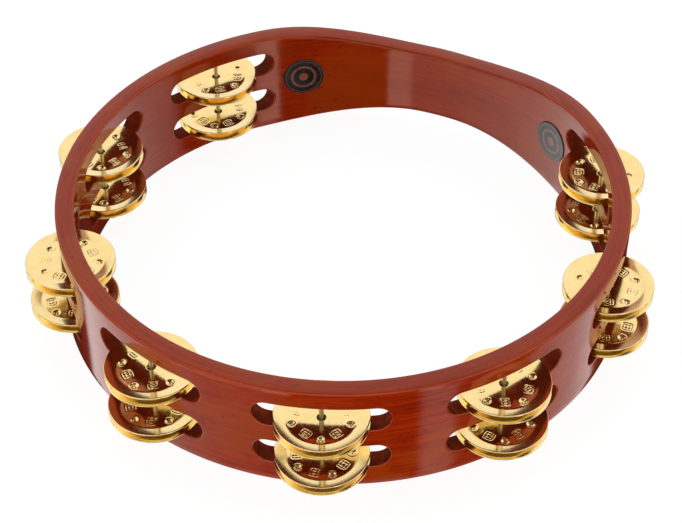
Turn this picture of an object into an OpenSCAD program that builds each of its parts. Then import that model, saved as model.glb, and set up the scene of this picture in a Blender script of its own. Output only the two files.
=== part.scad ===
// Headless round tambourine: one bent wooden hoop with a narrowed hand grip,
// eight jingle stations, two rows of slots, a pair of cupped brass jingles in
// every slot and one long nail through both rows of each station.
// Millimetres, +Z up. The origin is on the hoop's axis, level with the face
// it lies on. The hand grip is centred on +Y.

/* [Hoop] */
// Outside diameter of the hoop
hoop_d = 254; // [230:1:280]
// Height of the hoop away from the grip
hoop_h = 54; // [52:0.5:60]
// Thickness of the hoop's wall
wall_t = 8.4; // [7:0.1:10]
// Rounding of the hoop's four rims
rim_round = 1.2; // [0.5:0.1:2]

/* [Hand grip] */
// How far each rim is cut back at the middle of the grip
grip_cut = 8.9; // [4:0.1:12]
// Half angle, seen from the axis, over which the full cut is kept
grip_flat_angle = 4; // [1:0.5:10]
// Half angle, seen from the axis, where the cut runs out into the full height
grip_end_angle = 43; // [35:0.5:46]

/* [Jingle stations] */
// Angle between neighbouring stations
station_pitch = 36.2; // [35:0.1:36.5]
// Angle of the first station, counted from +X
station_first = 144.4; // [143:0.1:147]
// Overall length of each slot along the wall
slot_len = 56.5; // [50:0.5:60]
// Height of each slot
slot_h = 12.5; // [11.5:0.1:13]
// Height of the lower row's middle above the resting face
row_low = 17.4; // [16:0.1:18]
// Distance between the middles of the two rows
row_pitch = 21.5; // [20:0.1:22]

/* [Jingles] */
// Outside diameter of a jingle
jingle_d = 39.2; // [34:0.1:42]
// Thickness of the jingle's sheet
jingle_t = 0.7; // [0.6:0.05:1.1]
// Diameter of the flat middle of a jingle
jingle_flat_d = 29.0; // [28.8:0.1:31]
// How far the cupped rim stands out of the flat middle
jingle_rise = 1.35; // [0.6:0.05:1.5]
// Hole in the middle of a jingle
jingle_hole_d = 3.9; // [3:0.1:5]
// Distance of the pressed dimples from the middle
dimple_at = 12.4; // [9:0.1:12.4]
// Radius of a pressed dimple at the sheet's face
dimple_r = 1.7; // [1:0.1:1.7]
// Depth of a dimple, and height of the bump behind it
dimple_deep = 0.8; // [0.3:0.05:0.9]

/* [Nails] */
// Diameter of the nail that carries a station's jingles
nail_d = 2.0; // [1.5:0.1:2.5]
// How far the nail is sunk into the lower rim
nail_sunk = 0.8; // [0.2:0.1:2]
// How far the nail bites into the wood above the upper slot
nail_bite = 5; // [3:0.5:6]

/* [Badges] */
// Diameter of the round badge at each end of the grip
badge_d = 20.4; // [12:0.1:24]
// Thickness of a badge
badge_t = 0.5; // [0.3:0.1:1]
// Half angle, seen from the axis, between the grip's middle and a badge
badge_angle = 33.4; // [30:0.1:34]
// Height of a badge's middle above the resting face
badge_z = 28; // [24:0.5:30]

/* [Hidden] */
$fn = 96;
hoop_r = hoop_d / 2;
inner_r = hoop_r - wall_t;
mid_r = hoop_r - wall_t / 2;
jingle_r = jingle_d / 2;
flat_r = jingle_flat_d / 2;
// Eight stations leave the grip's part of the hoop free. The slots are set out
// by hand, so the middle stations sit a little past the even pitch.
station_shift = [0, 0.7, 0.8, 0.8, 0.5, 0.5, 0.4, 0];
function station_angle(i) = station_first + station_pitch * (i - 1) + station_shift[i - 1];
// Play between two pieces that lie on each other
lie_gap = 0.1;
// How far each pair of jingles is turned round its nail, in degrees: the lower
// row of stations 1 to 8, then the upper row
pair_turn = [[1, 10, 43, 38, 26, 10, 39, 65], [56, 13, 21, 49, 5, 41, 37, 17]];
slot_floor = [row_low - slot_h / 2, row_low + row_pitch - slot_h / 2];
// The dimple is a spherical cup with this radius
dimple_ball = (dimple_r * dimple_r + dimple_deep * dimple_deep) / (2 * dimple_deep);
// Height of the two faces on which a pair's flat middles lie
low_back = jingle_rise + jingle_t;
pair_gap = dimple_deep + lie_gap;
nail_top = row_low + row_pitch + slot_h / 2 + nail_bite;

// Smooth step from 0 to 1
function ease(u) = let (c = min(1, max(0, u))) c * c * (3 - 2 * c);
// Depth of the grip's cut at an angle from the grip's middle
function cut_depth(a) = grip_cut * ease((grip_end_angle - abs(a)) / (grip_end_angle - grip_flat_angle));

// Outline of what is cut off the upper rim, seen along Y, with Z up
module grip_outline() {
  steps = 40;
  polygon(concat(
    [for (k = [0:steps]) let (a = -grip_end_angle + 2 * grip_end_angle * k / steps)
      [mid_r * sin(a), -cut_depth(a)]],
    [[mid_r * sin(grip_end_angle), 10], [-mid_r * sin(grip_end_angle), 10]]
  ));
}

module rounded_wall() {
  r = rim_round;
  translate([inner_r, r]) square([wall_t, hoop_h - 2 * r]);
  translate([inner_r + r, 0]) square([wall_t - 2 * r, hoop_h]);
  for (x = [inner_r + r, hoop_r - r], z = [r, hoop_h - r])
    translate([x, z]) circle(r = r);
}

// A slot with round ends, run radially through the wall
module slot_cutter() {
  rotate([90, 0, 90]) translate([0, 0, -wall_t]) linear_extrude(2 * wall_t) {
    square([slot_len - slot_h, slot_h], center = true);
    for (s = [-1, 1]) translate([s * (slot_len - slot_h) / 2, 0]) circle(d = slot_h);
  }
}

module at_station(i) {
  rotate([0, 0, station_angle(i)]) translate([mid_r, 0, 0]) children();
}

// The bent wooden hoop with its grip, slots and nail holes
module wood_frame() {
  color([0.50, 0.17, 0.07])
  difference() {
    rotate_extrude() rounded_wall();
    translate([0, hoop_r + 10, hoop_h]) rotate([90, 0, 0]) linear_extrude(hoop_r) grip_outline();
    mirror([0, 0, 1]) translate([0, hoop_r + 10, 0]) rotate([90, 0, 0]) linear_extrude(hoop_r) grip_outline();
    for (i = [1:8], z = [row_low, row_low + row_pitch])
      at_station(i) translate([0, 0, z]) slot_cutter();
    for (i = [1:8])
      at_station(i) translate([0, 0, -1]) cylinder(d = nail_d, h = nail_top + 1);
  }
}

// One plain nail, pressed in from the lower rim, through both slots
module jingle_nail(i) {
  color([0.80, 0.66, 0.38])
  at_station(i) translate([0, 0, nail_sunk]) cylinder(d = nail_d, h = nail_top - nail_sunk);
}

// A cupped jingle with its rim up. Its flat middle's back is at z = 0.
module jingle() {
  color([0.86, 0.66, 0.32])
  difference() {
    union() {
      rotate_extrude() polygon([
        [0, 0], [flat_r, 0], [jingle_r, jingle_rise],
        [jingle_r, jingle_rise + jingle_t], [flat_r, jingle_t], [0, jingle_t]
      ]);
      for (k = [0:4]) rotate([0, 0, 72 * k]) translate([dimple_at, 0, dimple_ball - dimple_deep])
        intersection() {
          sphere(r = dimple_ball);
          translate([-dimple_ball, -dimple_ball, -dimple_ball]) cube([2 * dimple_ball, 2 * dimple_ball, dimple_deep + jingle_t / 2]);
        }
    }
    for (k = [0:4]) rotate([0, 0, 72 * k]) translate([dimple_at, 0, jingle_t + dimple_ball - dimple_deep])
      sphere(r = dimple_ball);
    translate([0, 0, -2]) cylinder(d = jingle_hole_d, h = 4 + jingle_t);
  }
}

// The jingle that lies on the slot's floor, rim down
module jingle_under(i, row) {
  at_station(i) translate([0, 0, slot_floor[row] + lie_gap + low_back])
    rotate([0, 0, pair_turn[row][i - 1] + 36]) mirror([0, 0, 1]) jingle();
}

// The jingle that lies on its back on the one below, rim up
module jingle_over(i, row) {
  at_station(i) translate([0, 0, slot_floor[row] + lie_gap + low_back + pair_gap])
    rotate([0, 0, pair_turn[row][i - 1]]) jingle();
}

// A round badge that follows the inside of the wall
module badge(side) {
  color([0.05, 0.05, 0.06])
  intersection() {
    difference() {
      cylinder(r = inner_r, h = hoop_h);
      translate([0, 0, -1]) cylinder(r = inner_r - badge_t, h = hoop_h + 2);
    }
    rotate([0, 0, 90 + side * badge_angle]) translate([inner_r - 10, 0, badge_z])
      rotate([0, 90, 0]) cylinder(d = badge_d, h = 20);
  }
}

wood_frame();
badge(1);  // badge_left
badge(-1);  // badge_right
jingle_nail(1);  // jingle_nail_1
jingle_nail(2);  // jingle_nail_2
jingle_nail(3);  // jingle_nail_3
jingle_nail(4);  // jingle_nail_4
jingle_nail(5);  // jingle_nail_5
jingle_nail(6);  // jingle_nail_6
jingle_nail(7);  // jingle_nail_7
jingle_nail(8);  // jingle_nail_8
jingle_under(1, 0);  // jingle_1_low_under
jingle_over(1, 0);  // jingle_1_low_over
jingle_under(1, 1);  // jingle_1_high_under
jingle_over(1, 1);  // jingle_1_high_over
jingle_under(2, 0);  // jingle_2_low_under
jingle_over(2, 0);  // jingle_2_low_over
jingle_under(2, 1);  // jingle_2_high_under
jingle_over(2, 1);  // jingle_2_high_over
jingle_under(3, 0);  // jingle_3_low_under
jingle_over(3, 0);  // jingle_3_low_over
jingle_under(3, 1);  // jingle_3_high_under
jingle_over(3, 1);  // jingle_3_high_over
jingle_under(4, 0);  // jingle_4_low_under
jingle_over(4, 0);  // jingle_4_low_over
jingle_under(4, 1);  // jingle_4_high_under
jingle_over(4, 1);  // jingle_4_high_over
jingle_under(5, 0);  // jingle_5_low_under
jingle_over(5, 0);  // jingle_5_low_over
jingle_under(5, 1);  // jingle_5_high_under
jingle_over(5, 1);  // jingle_5_high_over
jingle_under(6, 0);  // jingle_6_low_under
jingle_over(6, 0);  // jingle_6_low_over
jingle_under(6, 1);  // jingle_6_high_under
jingle_over(6, 1);  // jingle_6_high_over
jingle_under(7, 0);  // jingle_7_low_under
jingle_over(7, 0);  // jingle_7_low_over
jingle_under(7, 1);  // jingle_7_high_under
jingle_over(7, 1);  // jingle_7_high_over
jingle_under(8, 0);  // jingle_8_low_under
jingle_over(8, 0);  // jingle_8_low_over
jingle_under(8, 1);  // jingle_8_high_under
jingle_over(8, 1);  // jingle_8_high_over
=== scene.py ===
import math

import bmesh
import bpy
import numpy as np
from mathutils import Matrix, Vector


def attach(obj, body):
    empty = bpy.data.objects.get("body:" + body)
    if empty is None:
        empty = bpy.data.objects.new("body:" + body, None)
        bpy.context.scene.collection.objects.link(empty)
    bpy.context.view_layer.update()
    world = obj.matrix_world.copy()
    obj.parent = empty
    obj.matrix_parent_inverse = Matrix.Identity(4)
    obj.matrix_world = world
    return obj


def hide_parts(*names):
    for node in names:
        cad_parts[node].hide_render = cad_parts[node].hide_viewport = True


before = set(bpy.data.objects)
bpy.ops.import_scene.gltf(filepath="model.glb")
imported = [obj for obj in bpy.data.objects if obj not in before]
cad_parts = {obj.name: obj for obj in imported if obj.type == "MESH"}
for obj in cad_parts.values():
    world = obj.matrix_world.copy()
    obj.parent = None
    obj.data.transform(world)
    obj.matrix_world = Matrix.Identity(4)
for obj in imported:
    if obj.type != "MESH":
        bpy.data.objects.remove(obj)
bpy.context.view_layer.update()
scene = bpy.context.scene
MM = 0.001

# ---------------------------------------------------------------- the design's sizes, in mm
HOOP_R, INNER_R, MID_R = 127.0, 118.6, 122.8
HOOP_H = 54.0
RIM = 1.25
SLOT_LEN, SLOT_H = 56.5, 12.5
ROWS = (17.4, 38.9)
GRIP_CUT, GRIP_FLAT, GRIP_END = 8.9, 4.0, 43.0
SHIFT = (0, 0.7, 0.8, 0.8, 0.5, 0.5, 0.4, 0)
STATIONS = [144.4 + 36.2 * i + SHIFT[i] for i in range(8)]
PAIR_TURN = ((1, 10, 43, 38, 26, 10, 39, 65), (56, 13, 21, 49, 5, 41, 37, 17))
JINGLE_R = 19.6


def smooth(u):
    u = np.clip(u, 0, 1)
    return u * u * (3 - 2 * u)


def rim_top(x, y):
    """Height of the upper rim at a point of the hoop's plan: the grip is cut back."""
    a = np.degrees(np.arcsin(np.clip(x / MID_R, -1, 1)))
    cut = GRIP_CUT * smooth((GRIP_END - np.abs(a)) / (GRIP_END - GRIP_FLAT))
    return HOOP_H - np.where(y > 0, cut, 0.0)


# ---------------------------------------------------------------- mesh helpers
class Quads:
    """Collects grids of points as quads and welds the points that meet."""

    def __init__(self):
        self.pts, self.faces, self.n = [], [], 0

    def grid(self, g, flip=False):
        """g has shape (rows, columns, 3), in mm."""
        r, c = g.shape[:2]
        idx = np.arange(r * c).reshape(r, c) + self.n
        q = np.stack([idx[:-1, :-1], idx[:-1, 1:], idx[1:, 1:], idx[1:, :-1]], -1).reshape(-1, 4)
        if flip:
            q = q[:, ::-1]
        self.pts.append(g.reshape(-1, 3))
        self.faces.append(q)
        self.n += r * c

    def mesh(self, name, weld=2e-4):
        pts = np.concatenate(self.pts)
        faces = np.concatenate(self.faces)
        key = np.round(pts / weld).astype(np.int64)
        _, first, inv = np.unique(key, axis=0, return_index=True, return_inverse=True)
        inv = inv.reshape(-1)
        verts = pts[first] * MM
        faces = inv[faces]
        out = []
        for f in faces:
            g = []
            for v in f:
                if not g or g[-1] != v:
                    g.append(int(v))
            if len(g) > 1 and g[0] == g[-1]:
                g.pop()
            if len(set(g)) >= 3 and len(set(g)) == len(g):
                out.append(g)
        me = bpy.data.meshes.new(name)
        me.from_pydata([tuple(v) for v in verts], [], out)
        me.validate()
        bm = bmesh.new()
        bm.from_mesh(me)
        bmesh.ops.recalc_face_normals(bm, faces=bm.faces)
        open_edges = sum(1 for e in bm.edges if not e.is_manifold)
        print("mesh", name, "faces", len(bm.faces), "open edges", open_edges, "volume mm3", round(bm.calc_volume() * 1e9, 1))
        bm.to_mesh(me)
        bm.free()
        me.shade_smooth()
        return me


def add(name, me, mat=None):
    ob = bpy.data.objects.new(name, me)
    scene.collection.objects.link(ob)
    if mat is not None:
        me.materials.clear()
        me.materials.append(mat)
    return ob


# ---------------------------------------------------------------- node helpers
class Nodes:
    def __init__(self, tree):
        self.t = tree

    def new(self, kind, **kw):
        n = self.t.nodes.new(kind)
        for k, v in kw.items():
            setattr(n, k, v)
        return n

    def link(self, a, b):
        self.t.links.new(a, b)

    def put(self, node, i, v):
        if isinstance(v, bpy.types.NodeSocket):
            self.link(v, node.inputs[i])
        elif v is not None:
            node.inputs[i].default_value = v

    def math(self, op, a, b=None, c=None, clamp=False):
        n = self.new("ShaderNodeMath", operation=op)
        n.use_clamp = clamp
        self.put(n, 0, a)
        self.put(n, 1, b)
        self.put(n, 2, c)
        return n.outputs[0]

    def sep(self, v):
        n = self.new("ShaderNodeSeparateXYZ")
        self.link(v, n.inputs[0])
        return n.outputs

    def comb(self, x, y, z):
        n = self.new("ShaderNodeCombineXYZ")
        for i, v in enumerate((x, y, z)):
            self.put(n, i, v)
        return n.outputs[0]

    def noise(self, vec, scale, detail=2.0, rough=0.5, dist=0.0):
        n = self.new("ShaderNodeTexNoise")
        self.link(vec, n.inputs["Vector"])
        n.inputs["Scale"].default_value = scale
        n.inputs["Detail"].default_value = detail
        n.inputs["Roughness"].default_value = rough
        n.inputs["Distortion"].default_value = dist
        return n.outputs["Fac"]

    def map(self, v, a, b, c=0.0, d=1.0, kind="LINEAR"):
        n = self.new("ShaderNodeMapRange", interpolation_type=kind)
        n.clamp = True
        self.put(n, 0, v)
        for i, x in enumerate((a, b, c, d)):
            n.inputs[i + 1].default_value = x
        return n.outputs[0]

    def mix(self, fac, a, b, blend="MIX"):
        n = self.new("ShaderNodeMix", data_type="RGBA", blend_type=blend)
        self.put(n, 0, fac)
        for i, v in ((6, a), (7, b)):
            if isinstance(v, bpy.types.NodeSocket):
                self.link(v, n.inputs[i])
            else:
                n.inputs[i].default_value = (*v, 1.0)
        return n.outputs[2]

    def ramp(self, fac, stops, interp="LINEAR"):
        n = self.new("ShaderNodeValToRGB")
        n.color_ramp.interpolation = interp
        e = n.color_ramp.elements
        while len(e) > 1:
            e.remove(e[-1])
        for i, (p, c) in enumerate(stops):
            el = e[0] if i == 0 else e.new(p)
            el.position = p
            el.color = (*c, 1.0) if len(c) == 3 else c
        self.put(n, 0, fac)
        return n.outputs[0]

    def bump(self, height, strength, distance, normal=None):
        n = self.new("ShaderNodeBump")
        n.inputs["Strength"].default_value = strength
        n.inputs["Distance"].default_value = distance
        self.link(height, n.inputs["Height"])
        if normal is not None:
            self.link(normal, n.inputs["Normal"])
        return n.outputs[0]


def material(name):
    m = bpy.data.materials.new(name)
    m.use_nodes = True
    m.node_tree.nodes.clear()
    k = Nodes(m.node_tree)
    out = k.new("ShaderNodeOutputMaterial")
    b = k.new("ShaderNodeBsdfPrincipled")
    k.link(b.outputs[0], out.inputs[0])
    co = k.new("ShaderNodeTexCoord").outputs["Object"]
    return m, k, b, co


# ---------------------------------------------------------------- materials
def lacquered_wood():
    m, k, b, co = material("lacquered_wood")
    x, y, z = k.sep(co)
    r = k.math("SQRT", k.math("ADD", k.math("MULTIPLY", x, x), k.math("MULTIPLY", y, y)))
    # the strip is bent round, so the grain runs round the hoop: slow along x and y, quick in height and depth
    wav = k.noise(k.comb(k.math("MULTIPLY", x, 9.0), k.math("MULTIPLY", y, 9.0), k.math("MULTIPLY", z, 30.0)), 1.0, 2.0)
    zz = k.math("ADD", z, k.math("MULTIPLY", k.math("SUBTRACT", wav, 0.5), 0.006))

    def grain(along, across, detail=3.0, rough=0.55):
        v = k.comb(k.math("MULTIPLY", x, along), k.math("MULTIPLY", y, along),
                   k.math("ADD", k.math("MULTIPLY", zz, across), k.math("MULTIPLY", r, across * 0.8)))
        return k.noise(v, 1.0, detail, rough)

    broad = grain(7.0, 70.0, 3.0, 0.5)
    fine = grain(26.0, 900.0, 4.0, 0.6)
    pores = grain(120.0, 3200.0, 2.0, 0.5)
    flecks = grain(210.0, 1700.0, 3.0, 0.6)
    cloud = k.noise(co, 16.0, 3.0, 0.5)
    tone = k.math("ADD", k.math("MULTIPLY", k.map(broad, 0.30, 0.70), 0.20), k.math("MULTIPLY", k.map(fine, 0.30, 0.70), 0.46))
    tone = k.math("ADD", tone, k.math("MULTIPLY", cloud, 0.25))
    col = k.ramp(tone, [(0.10, (0.195, 0.0095, 0.0008)), (0.36, (0.320, 0.0175, 0.0012)),
                        (0.60, (0.405, 0.0285, 0.0020)), (0.85, (0.490, 0.0460, 0.0040)), (1.0, (0.54, 0.060, 0.007))])
    streak = k.map(grain(11.0, 260.0, 4.0, 0.65), 0.60, 0.74)
    col = k.mix(k.math("MULTIPLY", streak, 0.26), col, (0.095, 0.0050, 0.0008))
    dash = k.map(pores, 0.62, 0.72)
    col = k.mix(k.math("MULTIPLY", dash, 0.40), col, (0.070, 0.0040, 0.0010))
    fleck = k.map(flecks, 0.56, 0.68)
    col = k.mix(k.math("MULTIPLY", fleck, 0.38), col, (0.110, 0.0050, 0.0010))
    # paler, browner figure in patches, with a few small dark knots
    figure = k.map(k.noise(co, 24.0, 4.0, 0.60), 0.47, 0.63, 0.0, 1.0, "SMOOTHSTEP")
    col = k.mix(k.math("MULTIPLY", figure, 0.48), col, (0.400, 0.0600, 0.0050))
    knots = k.map(k.noise(k.comb(x, y, k.math("MULTIPLY", z, 1.6)), 230.0, 2.0, 0.5), 0.68, 0.76)
    col = k.mix(k.math("MULTIPLY", knots, 0.60), col, (0.060, 0.0040, 0.0010))
    # where the surface faces: 1 on the two faces of the wall, 0 on the rims and inside the slots
    nrm = k.new("ShaderNodeNewGeometry").outputs["Normal"]
    nx, ny, nz = k.sep(nrm)
    out = k.math("DIVIDE", k.math("ADD", k.math("MULTIPLY", nx, x), k.math("MULTIPLY", ny, y)), r)
    nr = k.math("ABSOLUTE", out)
    side = k.math("SQRT", k.math("SUBTRACT", 1.0, k.math("MULTIPLY", nr, nr), clamp=True))
    edge = k.map(k.math("MULTIPLY", k.math("MULTIPLY", nr, side), 2.0), 0.80, 1.0, 0.0, 1.0, "SMOOTHSTEP")
    edge = k.math("MULTIPLY", edge, k.math("ADD", k.map(z, 0.0030, 0.0036, 1.0, 0.0), k.map(z, 0.0504, 0.0510)))
    face = k.map(nr, 0.30, 0.80, 0.0, 1.0, "SMOOTHSTEP")
    inward = k.math("SUBTRACT", 1.0, face)
    # the inner face of the hoop is painted darker than the outer face: painted shade for the inside of the ring
    col = k.mix(k.map(out, -0.2, -0.7, 0.0, 0.26), col, (0.170, 0.0120, 0.0010))
    # the sanded rims are painted darker: painted shade on the rims
    col = k.mix(k.math("MULTIPLY", inward, 0.24), col, (0.150, 0.0080, 0.0015))
    # a paler line painted along the rims' rounded edges: a painted highlight
    edge_highlight = k.math("MULTIPLY", edge, k.map(k.noise(co, 60.0, 3.0), 0.25, 0.65, 0.45, 0.85))
    col = k.mix(edge_highlight, col, (0.56, 0.060, 0.0090))
    k.link(col, b.inputs["Base Color"])
    rough = k.map(k.math("ADD", k.math("MULTIPLY", cloud, 0.6), k.math("MULTIPLY", fine, 0.4)), 0.3, 0.7, 0.045, 0.090)
    rough = k.math("ADD", rough, k.math("MULTIPLY", inward, 0.05))
    k.link(rough, b.inputs["Roughness"])
    b.inputs["IOR"].default_value = 1.5
    b.inputs["Specular IOR Level"].default_value = 0.5
    b.inputs["Specular Tint"].default_value = (1.0, 0.68, 0.50, 1.0)
    h = k.math("ADD", k.math("MULTIPLY", fine, 0.35), k.math("MULTIPLY", k.noise(co, 90.0, 2.0), 0.65))
    n1 = k.bump(h, 0.10, 0.0004)
    n2 = k.bump(pores, 0.06, 0.0001, n1)
    k.link(n2, b.inputs["Normal"])
    return m


def cut_wood():
    """The sawn walls inside the slots: the stain soaks in, and the lacquer is thin and dull; their dark colour is
    partly that stain and partly painted shade of the slot's recess.
    """
    m, k, b, co = material("lacquered_wood_cut")
    x, y, z = k.sep(co)
    lines = k.noise(k.comb(k.math("MULTIPLY", x, 60.0), k.math("MULTIPLY", y, 60.0), k.math("MULTIPLY", z, 1400.0)), 1.0, 3.0, 0.6)
    blotch = k.noise(co, 120.0, 3.0, 0.55)
    tone = k.math("ADD", k.math("MULTIPLY", lines, 0.45), k.math("MULTIPLY", blotch, 0.55))
    # darker than the wall's faces: partly the soaked stain, partly painted shade of the recess
    col = k.ramp(tone, [(0.28, (0.085, 0.0070, 0.0020)), (0.48, (0.170, 0.0170, 0.0040)), (0.66, (0.300, 0.0430, 0.0090))])
    k.link(col, b.inputs["Base Color"])
    k.link(k.map(blotch, 0.3, 0.7, 0.50, 0.68), b.inputs["Roughness"])
    b.inputs["Specular IOR Level"].default_value = 0.06
    b.inputs["Specular Tint"].default_value = (1.0, 0.68, 0.50, 1.0)
    n1 = k.bump(lines, 0.30, 0.0002)
    k.link(k.bump(blotch, 0.20, 0.0003, n1), b.inputs["Normal"])
    return m


def jingle_brass():
    m, k, b, co = material("jingle_brass")
    x, y, z = k.sep(co)
    r = k.math("SQRT", k.math("ADD", k.math("MULTIPLY", x, x), k.math("MULTIPLY", y, y)))
    lathe = k.noise(k.comb(k.math("MULTIPLY", r, 1.0), 0.0, k.math("MULTIPLY", z, 0.2)), 2600.0, 3.0, 0.7)
    rings = k.noise(k.comb(k.math("MULTIPLY", r, 1.0), 3.7, 0.0), 700.0, 2.0, 0.6)
    cloud = k.noise(co, 140.0, 3.0, 0.6)
    smear = k.noise(co, 420.0, 3.0, 0.6)
    col = k.mix(k.map(cloud, 0.35, 0.70), (0.92, 0.665, 0.250), (0.95, 0.735, 0.320))
    col = k.mix(k.math("MULTIPLY", k.map(rings, 0.55, 0.75), 0.25), col, (0.86, 0.57, 0.19))
    k.link(col, b.inputs["Base Color"])
    b.inputs["Metallic"].default_value = 1.0
    rough = k.math("ADD", k.map(lathe, 0.30, 0.70, 0.07, 0.15), k.map(smear, 0.40, 0.75, 0.0, 0.05))
    k.link(rough, b.inputs["Roughness"])
    b.inputs["Anisotropic"].default_value = 0.0
    b.inputs["Coat Weight"].default_value = 1.0
    b.inputs["Coat IOR"].default_value = 1.5
    b.inputs["Coat Roughness"].default_value = 0.10
    h = k.math("ADD", k.math("MULTIPLY", lathe, 0.6), k.math("MULTIPLY", rings, 0.4))
    n1 = k.bump(h, 0.06, 0.00004)
    n2 = k.bump(smear, 0.05, 0.00006, n1)
    k.link(n2, b.inputs["Normal"])
    return m


def nail_metal():
    m, k, b, co = material("nail_metal")
    x, y, z = k.sep(co)
    draw = k.noise(k.comb(k.math("MULTIPLY", x, 1.0), k.math("MULTIPLY", y, 1.0), k.math("MULTIPLY", z, 0.02)), 3500.0, 2.0, 0.6)
    worn = k.noise(co, 260.0, 3.0, 0.6)
    col = k.mix(k.map(worn, 0.40, 0.65), (0.84, 0.66, 0.36), (0.95, 0.82, 0.55))
    k.link(col, b.inputs["Base Color"])
    b.inputs["Metallic"].default_value = 0.85
    k.link(k.map(draw, 0.3, 0.7, 0.26, 0.44), b.inputs["Roughness"])
    k.link(k.bump(draw, 0.12, 0.00005), b.inputs["Normal"])
    return m


def badge_print(centre_angle):
    """A glossy black disc with a plain ring and a dot printed on it in the wood's colour."""
    m, k, b, co = material("badge_print_%d" % round(centre_angle))
    x, y, z = k.sep(co)
    t = math.radians(centre_angle)
    u = k.math("ADD", k.math("MULTIPLY", x, -math.sin(t)), k.math("MULTIPLY", y, math.cos(t)))
    v = k.math("SUBTRACT", z, 0.028)
    d = k.math("SQRT", k.math("ADD", k.math("MULTIPLY", u, u), k.math("MULTIPLY", v, v)))
    e = 0.00012

    def band(lo, hi):
        return k.math("MULTIPLY", k.map(d, lo - e, lo + e), k.map(d, hi - e, hi + e, 1.0, 0.0))

    ink = k.math("MAXIMUM", band(0.0052, 0.0064), k.map(d, 0.0023 - e, 0.0023 + e, 1.0, 0.0))
    ink = k.math("MAXIMUM", ink, band(0.0088, 0.0091))
    speck = k.noise(co, 700.0, 2.0)
    black = k.mix(k.map(speck, 0.3, 0.7), (0.0085, 0.0075, 0.0075), (0.016, 0.014, 0.014))
    red = k.mix(k.map(speck, 0.3, 0.7), (0.20, 0.045, 0.020), (0.27, 0.065, 0.030))
    k.link(k.mix(ink, black, red), b.inputs["Base Color"])
    k.link(k.map(k.noise(co, 240.0, 3.0), 0.3, 0.7, 0.16, 0.28), b.inputs["Roughness"])
    h = k.math("ADD", k.math("MULTIPLY", ink, 0.8), k.math("MULTIPLY", speck, 0.2))
    k.link(k.bump(h, 0.15, 0.00005), b.inputs["Normal"])
    return m


WOOD, CUT, BRASS, NAIL = lacquered_wood(), cut_wood(), jingle_brass(), nail_metal()

# ---------------------------------------------------------------- the bent wooden hoop
NX, NZ = 40, 10            # cells along and up one slot's patch
ARC = 6                    # cells on an eighth of a slot's round end
ALPHA = 16.5               # half angle of a station's patch
MID_Z = (ROWS[0] + ROWS[1]) / 2
Z_ROWS = np.concatenate([np.linspace(RIM, MID_Z, NZ + 1), np.linspace(MID_Z, HOOP_H - RIM, NZ + 1)[1:]])
EASE_R = 0.75              # rounding of the slots' edges


def wall_point(R, th, zeta):
    """A point of the wall's face: th in degrees, zeta the height before the grip's cut."""
    t = np.radians(th)
    x, y = R * np.cos(t), R * np.sin(t)
    top = rim_top(x, y)
    z = HOOP_H / 2 + (zeta - HOOP_H / 2) * (top - RIM - HOOP_H / 2) / (HOOP_H / 2 - RIM)
    return np.stack(np.broadcast_arrays(x, y, z), -1)


def slot_outline(grow):
    """The round-ended slot, counter-clockwise from its lower right eighth: (u, v)."""
    h = SLOT_H / 2
    a = SLOT_LEN / 2 - h
    rad = h + grow
    pts = []

    def arc(cx, a0, a1, n):
        for j in range(n):
            t = math.radians(a0 + (a1 - a0) * j / n)
            pts.append((cx + rad * math.cos(t), rad * math.sin(t)))

    def line(x0, x1, yy, n):
        for j in range(n):
            pts.append((x0 + (x1 - x0) * j / n, yy))

    n = NX - 2 * ARC
    arc(a, -45, 45, NZ)
    arc(a, 45, 90, ARC)
    line(a, -a, rad, n)
    arc(-a, 90, 135, ARC)
    arc(-a, 135, 225, NZ)
    arc(-a, 225, 270, ARC)
    line(-a, a, -rad, n)
    arc(a, 270, 315, ARC)
    pts.append(pts[0])
    return np.array(pts)


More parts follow.
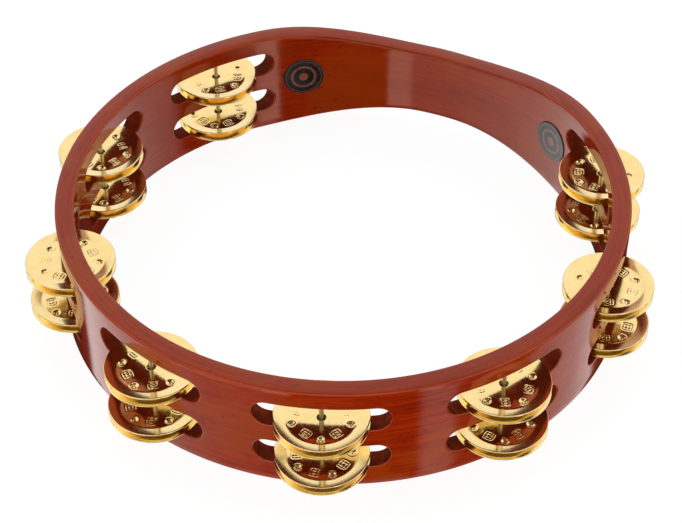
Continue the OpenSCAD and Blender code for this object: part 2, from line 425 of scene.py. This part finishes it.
def build_frame():
    q = Quads()
    cols_in_patch = np.linspace(-ALPHA, ALPHA, NX + 1)
    for th in STATIONS:
        for row, zc in enumerate(ROWS):
            z0, z1 = (RIM, MID_Z) if row == 0 else (MID_Z, HOOP_H - RIM)
            zs = np.linspace(z0, z1, NZ + 1)
            rect = np.concatenate([
                np.stack([np.full(NZ + 1, ALPHA), zs], -1)[:-1],
                np.stack([cols_in_patch[::-1], np.full(NX + 1, z1)], -1)[:-1],
                np.stack([np.full(NZ + 1, -ALPHA), zs[::-1]], -1)[:-1],
                np.stack([cols_in_patch, np.full(NX + 1, z0)], -1)])
            for R, outer in ((HOOP_R, True), (INNER_R, False)):
                edge = slot_outline(EASE_R - 0.25)
                tc = np.degrees(np.arcsin(edge[:, 0] / R))
                ring = np.stack([tc, edge[:, 1] + zc], -1)
                layers = [ring * (1 - s) + rect * s for s in (0.0, 0.045, 0.14, 0.32, 0.58, 1.0)]
                g = np.stack([wall_point(R, th + L[:, 0], L[:, 1]) for L in layers])
                q.grid(g, flip=not outer)
            # through the wall, with eased edges at both faces
            t = math.radians(th)
            er, et = np.array([math.cos(t), math.sin(t), 0]), np.array([-math.sin(t), math.cos(t), 0])
            secs = []
            for j in range(6):
                a = math.radians(90 * j / 5)
                secs.append((HOOP_R, EASE_R * (1 - math.sin(a)) - 0.25, EASE_R * (1 - math.cos(a))))
            tube = []
            for R, grow, deep in secs:
                o = slot_outline(grow)
                w = np.sqrt(R * R - o[:, 0] ** 2) - deep
                tube.append(w[:, None] * er + o[:, :1] * et + np.array([0, 0, 1]) * (o[:, 1:2] + zc))
            o = slot_outline(-0.25)
            w0 = np.sqrt(HOOP_R ** 2 - o[:, 0] ** 2) - EASE_R
            w1 = np.sqrt(INNER_R ** 2 - o[:, 0] ** 2) + EASE_R
            for s in (0.04, 0.35, 0.65, 0.96, 1.0):
                w = w0 * (1 - s) + w1 * s
                tube.append(w[:, None] * er + o[:, :1] * et + np.array([0, 0, 1]) * (o[:, 1:2] + zc))
            for j in range(4, -1, -1):
                a = math.radians(90 * j / 5)
                o = slot_outline(EASE_R * (1 - math.sin(a)) - 0.25)
                w = np.sqrt(INNER_R ** 2 - o[:, 0] ** 2) + EASE_R * (1 - math.cos(a))
                tube.append(w[:, None] * er + o[:, :1] * et + np.array([0, 0, 1]) * (o[:, 1:2] + zc))
            g = np.stack(tube)
            # the wall's own points are used at both faces, so that the tube meets them
            g[0, :, 2] = wall_edge(HOOP_R, th, zc)[:, 2]
            g[-1, :, 2] = wall_edge(INNER_R, th, zc)[:, 2]
            q.grid(g, flip=True)
    # the plain lengths between the patches, and the grip
    all_cols = []
    for i in range(8):
        all_cols.append(STATIONS[i] + cols_in_patch)
        a = STATIONS[i] + ALPHA
        bnd = (STATIONS[i + 1] if i < 7 else STATIONS[0] + 360) - ALPHA
        n = max(2, int(round((bnd - a) / 0.8)))
        gap = np.linspace(a, bnd, n + 1)
        all_cols.append(gap)
        for R, outer in ((HOOP_R, True), (INNER_R, False)):
            g = wall_point(R, gap[None, :], Z_ROWS[:, None])
            q.grid(g, flip=not outer)
    cols = np.unique(np.round(np.concatenate(all_cols), 7))
    cols = cols[cols < cols[0] + 360 - 1e-4]
    cols = np.append(cols, cols[0] + 360)
    t = np.radians(cols)
    rs, dz = [], []
    for j in range(7):
        a = math.radians(15 * j)
        rs.append(HOOP_R - RIM * (1 - math.cos(a)))
        dz.append(RIM * (1 - math.sin(a)))
    flat = [HOOP_R - RIM - 0.15, 125.0, 124.4, 123.6, 122.8, 122.0, 121.2, 120.6, INNER_R + RIM + 0.15]
    rs += flat
    dz += [0.0] * len(flat)
    for j in range(6, -1, -1):
        a = math.radians(15 * j)
        rs.append(INNER_R + RIM * (1 - math.cos(a)))
        dz.append(RIM * (1 - math.sin(a)))
    rs, dz = np.array(rs), np.array(dz)
    # sanding leaves the rims slightly crowned
    mid = (HOOP_R + INNER_R) / 2
    u = np.clip(np.abs(rs - mid) / ((HOOP_R - INNER_R) / 2 - RIM), 0, 1)
    dz = dz + 0.16 * u ** 2 * (1 - dz / RIM)
    X = rs[:, None] * np.cos(t)[None, :]
    Y = rs[:, None] * np.sin(t)[None, :]
    # the edge points keep the wall's own height, so that they meet it
    top = rim_top(X, Y)
    Z = top - dz[:, None]
    q.grid(np.stack([X, Y, Z], -1))
    q.grid(np.stack([X, Y, HOOP_H - Z], -1), flip=True)
    return q.mesh("wood_hoop", weld=1e-3)


def wall_edge(R, th, zc):
    o = slot_outline(EASE_R - 0.25)
    tc = np.degrees(np.arcsin(o[:, 0] / R))
    return wall_point(R, th + tc, o[:, 1] + zc)


hoop = add("wood_hoop", build_frame(), WOOD)
hoop.data.materials.append(CUT)
for face in hoop.data.polygons:
    c, n = face.center, face.normal
    radial = abs(n.x * c.x + n.y * c.y) / math.hypot(c.x, c.y)
    if radial < 0.5 and 10.4 * MM < c.z < 45.9 * MM and c.y < 99 * MM:
        face.material_index = 1
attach(hoop, "frame")
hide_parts("wood_frame")

# ---------------------------------------------------------------- the jingles
FLAT_R, RISE, SHEET = 14.5, 1.35, 0.7
DENT_AT, DENT_R, DENT_DEEP = 12.4, 1.7, 0.8
PAD_AT, PAD_W = 10.5, 4.8


def cup(r):
    """Height of the cupped rim above the flat middle, with a soft bend where it starts."""
    u = np.clip((r - (FLAT_R - 0.6)) / 1.2, 0, 1)
    straight = RISE * (r - FLAT_R) / (JINGLE_R - FLAT_R)
    slope = RISE / (JINGLE_R - FLAT_R)
    bend = slope * 1.2 * u * u / 2
    return np.where(r < FLAT_R + 0.6, bend, straight)


def face_height(r, a):
    """The dished face: 0 at the flat middle, with five pressed dents and five stamped squares."""
    x, y = r * np.cos(a), r * np.sin(a)
    h = cup(r)
    for j in range(5):
        t = math.radians(72 * j)
        d = np.hypot(x - DENT_AT * math.cos(t), y - DENT_AT * math.sin(t))
        h = h - DENT_DEEP * np.clip(1 - (d / DENT_R) ** 2, 0, 1) ** 1.15
        h = h + 0.10 * np.exp(-((d - DENT_R - 0.15) / 0.28) ** 2)
        h = h + 0.42 * smooth((0.62 - d) / 0.5)
        t = math.radians(72 * j + 36)
        u = (x - PAD_AT * math.cos(t)) * -math.sin(t) + (y - PAD_AT * math.sin(t)) * math.cos(t)
        v = (x - PAD_AT * math.cos(t)) * math.cos(t) + (y - PAD_AT * math.sin(t)) * math.sin(t)
        p = (np.abs(u / (PAD_W / 2)) ** 4 + np.abs(v / (PAD_W / 2 * 0.92)) ** 4) ** 0.25
        groove = np.exp(-((p - 0.93) / 0.10) ** 2)
        inside = smooth((0.80 - p) / 0.14)
        bars = np.maximum(np.exp(-((np.abs(u) - 0.95) / 0.26) ** 2), np.exp(-((np.abs(v) - 0.80) / 0.24) ** 2))
        h = h - 0.17 * groove - 0.17 * inside * bars
    return h


def back_height(r, a):
    x, y = r * np.cos(a), r * np.sin(a)
    h = cup(r)
    ball = (DENT_R ** 2 + DENT_DEEP ** 2) / (2 * DENT_DEEP)
    for j in range(5):
        t = math.radians(72 * j)
        d = np.hypot(x - DENT_AT * math.cos(t), y - DENT_AT * math.sin(t))
        z = (ball - DENT_DEEP) - np.sqrt(np.clip(ball ** 2 - d ** 2, 0, None))
        h = np.where(d < DENT_R, np.minimum(h, z), h)
    return h


def build_jingle():
    q = Quads()
    A = 288
    a = np.linspace(0, 2 * math.pi, A + 1)
    a[-1] = 0.0
    hole = 1.95
    top_r = np.concatenate([[2.25, 2.45, 2.9, 3.6, 4.6, 5.6, 6.6, 7.4], np.arange(7.8, 14.5, 0.25),
                            [14.5, 14.8, 15.1, 15.6, 16.4, 17.3, 18.2, 18.8, 19.05, 19.18]])
    r, t = top_r[:, None], a[None, :]
    h = face_height(r, t) + SHEET
    R = np.broadcast_to(r, h.shape)
    g_top = np.stack([R * np.cos(t), R * np.sin(t), h], -1)
    # the rim: rounded corners and a short upright face
    rim = []
    zt, zb = SHEET + RISE, RISE
    for j in range(1, 6):
        b = math.radians(18 * j)
        rim.append((JINGLE_R - 0.30 + 0.30 * math.sin(b), zt - 0.30 * (1 - math.cos(b)) - 0.05))
    rim += [(JINGLE_R, zt - 0.40), (JINGLE_R, zb + 0.24)]
    for j in range(1, 6):
        b = math.radians(18 * j)
        rim.append((JINGLE_R - 0.20 * (1 - math.cos(b)), zb + 0.20 - 0.20 * math.sin(b) - 0.0))
    rim = np.array(rim)
    g_rim = np.stack([rim[:, :1] * np.cos(t), rim[:, :1] * np.sin(t), np.broadcast_to(rim[:, 1:], (len(rim), A + 1))], -1)
    back_r = np.concatenate([[19.1, 18.4, 17.2, 16.0, 15.2, 14.8, 14.4], np.arange(14.1, 10.5, -0.36),
                             [10.0, 8.0, 6.0, 4.0, 2.8, 2.35]])
    r = back_r[:, None]
    hb = back_height(r, t)
    R = np.broadcast_to(r, hb.shape)
    g_back = np.stack([R * np.cos(t), R * np.sin(t), hb], -1)
    bore = []
    for j in range(1, 5):
        b = math.radians(22.5 * j)
        bore.append((hole + 0.25 - 0.25 * math.sin(b), 0.25 * (1 - math.cos(b))))
    for j in range(3, -1, -1):
        b = math.radians(22.5 * j)
        bore.append((hole + 0.25 - 0.25 * math.sin(b), SHEET - 0.25 * (1 - math.cos(b))))
    bore = np.array(bore)
    g_bore = np.stack([bore[:, :1] * np.cos(t), bore[:, :1] * np.sin(t), np.broadcast_to(bore[:, 1:], (len(bore), A + 1))], -1)
    g_bore[-1] = g_top[0]
    q.grid(np.concatenate([g_top, g_rim, g_back, g_bore]), flip=False)
    return q.mesh("jingle_sheet", weld=2e-3)


jingle_mesh = build_jingle()
jingle_mesh.materials.append(BRASS)
for i in range(1, 9):
    th = math.radians(STATIONS[i - 1])
    cx, cy = MID_R * math.cos(th), MID_R * math.sin(th)
    for row, rname in ((0, "low"), (1, "high")):
        floor_z = ROWS[row] - SLOT_H / 2
        for kind in ("under", "over"):
            name = "jingle_%d_%s_%s" % (i, rname, kind)
            if kind == "under":
                z = floor_z + 0.1 + RISE + SHEET
                # turned over about X, the dents at k * 72 stay at k * 72
                rot = Matrix.Rotation(math.radians(PAIR_TURN[row][i - 1] + 36), 4, "Z") @ Matrix.Rotation(math.pi, 4, "X")
            else:
                z = floor_z + 0.1 + RISE + SHEET + DENT_DEEP + 0.1
                rot = Matrix.Rotation(math.radians(PAIR_TURN[row][i - 1]), 4, "Z")
            me = jingle_mesh.copy()
            me.transform(rot)
            ob = bpy.data.objects.new("brass_" + name, me)
            scene.collection.objects.link(ob)
            ob.location = Vector((cx, cy, z)) * MM
            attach(ob, name)
            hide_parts(name)


# ---------------------------------------------------------------- the nails
def build_nail():
    q = Quads()
    a = np.linspace(0, 2 * math.pi, 33)
    a[-1] = 0.0
    lo, hi, rr = 0.8, 17.4 + 21.5 + 6.25 + 5.0, 1.0
    prof = [(0.02, lo + 0.10), (0.45, lo + 0.04), (0.80, lo), (0.93, lo + 0.05), (rr - 0.01, lo + 0.2)]
    for z in np.linspace(lo + 0.8, hi - 2.6, 40):
        prof.append((rr - 0.012 - 0.012 * math.sin(z * 2.3) * math.sin(z * 0.9 + 1), z))
    prof += [(rr - 0.02, hi - 2.2), (0.72, hi - 1.2), (0.40, hi - 0.5), (0.02, hi - 0.05)]
    p = np.array(prof)
    g = np.stack([p[:, :1] * np.cos(a), p[:, :1] * np.sin(a), np.broadcast_to(p[:, 1:], (len(p), 33))], -1)
    q.grid(g, flip=True)
    return q.mesh("nail_shank", weld=1e-3)


nail_mesh = build_nail()
nail_mesh.materials.append(NAIL)
for i in range(1, 9):
    th = math.radians(STATIONS[i - 1])
    ob = bpy.data.objects.new("steel_nail_%d" % i, nail_mesh)
    scene.collection.objects.link(ob)
    ob.matrix_world = Matrix.Translation(Vector((MID_R * math.cos(th), MID_R * math.sin(th), 0)) * MM) 
    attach(ob, "frame")
    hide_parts("jingle_nail_%d" % i)


# ---------------------------------------------------------------- the badges
def build_badge(name, centre):
    """A thin disc that follows the inside of the wall, with an eased edge."""
    q = Quads()
    rad, thick = 10.2, 0.5
    a = np.linspace(0, 2 * math.pi, 97)
    a[-1] = 0.0
    prof = [(0.02, thick - 0.02), (2.5, thick - 0.02), (5.0, thick - 0.02), (7.5, thick - 0.02), (9.2, thick - 0.02), (9.7, thick - 0.03)]
    for j in range(1, 7):
        b = math.radians(15 * j)
        prof.append((rad - 0.35 + 0.35 * math.sin(b), thick - 0.03 - 0.35 * (1 - math.cos(b))))
    prof += [(rad, 0.02), (8.0, 0.0), (4.0, 0.0), (0.02, 0.0)]
    p = np.array(prof)
    u = p[:, :1] * np.cos(a)
    v = p[:, :1] * np.sin(a)
    w = np.sqrt(INNER_R ** 2 - u ** 2) - p[:, 1:]
    t = math.radians(centre)
    x = w * math.cos(t) - u * math.sin(t)
    y = w * math.sin(t) + u * math.cos(t)
    g = np.stack([x, y, v + 28.0], -1)
    q.grid(g, flip=True)
    return q.mesh(name, weld=1e-3)


for name, node, centre in (("disc_badge_left", "badge_left", 90 + 33.4), ("disc_badge_right", "badge_right", 90 - 33.4)):
    ob = add(name, build_badge(name, centre), badge_print(centre))
    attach(ob, "frame")
    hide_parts(node)

# ---------------------------------------------------------------- camera
f_dir = Vector((-0.3011, 0.6762, -0.6724)).normalized()
a24 = math.radians(24)
right = Vector((math.cos(a24), math.sin(a24), 0))
up = right.cross(f_dir).normalized()
f_dir = up.cross(right).normalized()
roll = math.radians(-0.292)
r2 = right * math.cos(roll) + up * math.sin(roll)
u2 = up * math.cos(roll) - right * math.sin(roll)
cam_data = bpy.data.cameras.new("camera")
cam_data.sensor_width = 36.0
cam_data.lens = 95.67
cam_data.clip_start = 0.01
cam_data.clip_end = 50
cam = bpy.data.objects.new("camera", cam_data)
scene.collection.objects.link(cam)
rot = Matrix((r2, u2, -f_dir)).transposed().to_4x4()
cam.matrix_world = Matrix.Translation(Vector((0.2496, -0.5633, 0.5687))) @ rot
scene.camera = cam


# ---------------------------------------------------------------- floor
def build_floor():
    m = bpy.data.materials.new("pale_floor")
    m.use_nodes = True
    m.node_tree.nodes.clear()
    k = Nodes(m.node_tree)
    out = k.new("ShaderNodeOutputMaterial")
    dif = k.new("ShaderNodeBsdfDiffuse")
    dif.inputs[0].default_value = (0.13, 0.13, 0.13, 1)
    em = k.new("ShaderNodeEmission")
    em.inputs[0].default_value = (1, 1, 1, 1)
    lp = k.new("ShaderNodeLightPath")
    k.link(k.math("ADD", k.math("MULTIPLY", lp.outputs["Is Camera Ray"], 0.910), 0.02), em.inputs[1])
    s = k.new("ShaderNodeAddShader")
    k.link(dif.outputs[0], s.inputs[0])
    k.link(em.outputs[0], s.inputs[1])
    k.link(s.outputs[0], out.inputs[0])
    me = bpy.data.meshes.new("floor")
    n = 64
    ring = [(6.0 * math.cos(2 * math.pi * j / n), 6.0 * math.sin(2 * math.pi * j / n), -0.0002) for j in range(n)]
    me.from_pydata(ring, [], [list(range(n))])
    ob = add("floor", me, m)
    ob.visible_glossy = False
    ob.visible_diffuse = False


build_floor()


# ---------------------------------------------------------------- studio light, as a surround
def build_world():
    w = bpy.data.worlds.new("studio")
    scene.world = w
    w.use_nodes = True
    w.node_tree.nodes.clear()
    k = Nodes(w.node_tree)
    out = k.new("ShaderNodeOutputWorld")
    bg = k.new("ShaderNodeBackground")
    k.link(bg.outputs[0], out.inputs[0])
    d = k.new("ShaderNodeTexCoord").outputs["Generated"]
    x, y, z = k.sep(d)
    az = k.math("FRACT", k.math("ADD", k.math("DIVIDE", k.math("ARCTAN2", y, x), 2 * math.pi), 1.0))
    # what the inside of the wall sees in its lacquer, and what the outside sees, which looks down more steeply
    inner = [(0, .03), (10, .03), (16, .80), (27, 1.05), (36, 1.20), (44, 1.2), (53, 1.35), (58, 1.35), (61, .01),
             (163, .01), (167, 1.8), (176, 1.8), (184, 1.6), (194, 1.5), (209, 1.35), (224, 1.3), (239, 1.1), (254, .95),
             (262.6, .90), (263.4, 2.0), (272.8, 2.0), (273.8, .01), (321.8, .01), (322.8, 2.2), (331.6, 2.0), (333, .6),
             (341, .25), (350, .03)]
    outer = [(0, .03), (9, .03), (17, .60), (27, .78), (36, .90), (44, 1.05), (53, 1.35), (58, 1.35), (61, .01),
             (163, .01), (167, 1.8), (176, 1.8), (184, 1.6), (194, 1.45), (209, 1.15), (224, .80), (239, .52), (254, .40),
             (266, .30), (271, .01), (324, .01), (327, .9), (338, .9), (342, .1), (350, .03)]
    e_in = k.ramp(az, [(a / 360.0, (v / 3, v / 3, v / 3)) for a, v in inner])
    e_out = k.ramp(az, [(a / 360.0, (v / 3, v / 3, v / 3)) for a, v in outer])
    up = k.map(z, -0.67, -0.64, 0.0, 1.0, "SMOOTHSTEP")
    e = k.math("MULTIPLY", k.math("ADD", k.math("MULTIPLY", e_in, up), k.math("MULTIPLY", e_out, k.math("SUBTRACT", 1.0, up))), 3.0)
    # near the horizon the surround is plainer: dim on the left, brighter at the front right
    level = [(0, .70), (35, .50), (60, .15), (150, .15), (225, .25), (255, 1.0), (345, 1.0)]
    h = k.ramp(az, [(a / 360.0, (v, v, v)) for a, v in level])
    strip = k.map(z, 0.44, 0.50, 1.30, 0.0, "SMOOTHSTEP")
    low = k.map(z, -0.50, -0.42, 0.0, 1.0, "SMOOTHSTEP")
    e = k.math("ADD", k.math("MULTIPLY", e, k.math("SUBTRACT", 1.0, low)), k.math("MULTIPLY", k.math("MULTIPLY", h, low), strip))
    # straight down it is the floor under the object, in its own shade
    deep = k.map(z, -0.86, -0.79, 1.0, 0.0, "SMOOTHSTEP")
    e = k.math("ADD", k.math("MULTIPLY", e, k.math("SUBTRACT", 1.0, deep)), k.math("MULTIPLY", deep, 0.95))
    tent = k.map(z, 0.02, 0.14, 0.02, 1.06, "SMOOTHSTEP")
    # the front of the tent is open and dark, up to the middle of its roof
    back = [(0, .10), (8, .10), (14, .9), (32, 1.0), (225, 1.0), (256, .12), (345, .10)]
    t = k.ramp(az, [(a / 360.0, (v, v, v)) for a, v in back])
    q = k.math("ADD", k.math("MULTIPLY", x, math.cos(math.radians(114))), k.math("MULTIPLY", y, math.sin(math.radians(114))))
    over = k.map(q, -0.12, -0.02, 0.14, 1.0, "SMOOTHSTEP")
    roof = k.map(z, 0.84, 0.89, 0.0, 1.0, "SMOOTHSTEP")
    t = k.math("ADD", k.math("MULTIPLY", t, k.math("SUBTRACT", 1.0, roof)), k.math("MULTIPLY", over, roof))
    tent = k.math("MULTIPLY", tent, t)
    total = k.math("MAXIMUM", e, tent)
    lp = k.new("ShaderNodeLightPath")
    cam_ray = lp.outputs["Is Camera Ray"]
    total = k.math("ADD", k.math("MULTIPLY", total, k.math("SUBTRACT", 1.0, cam_ray)), k.math("MULTIPLY", cam_ray, 0.97))
    k.link(total, bg.inputs[1])
    bg.inputs[0].default_value = (1, 1, 1, 1)


build_world()
scene.view_settings.view_transform = "Standard"
scene.view_settings.look = "None"
scene.view_settings.exposure = 0.0
scene.view_settings.gamma = 1.0
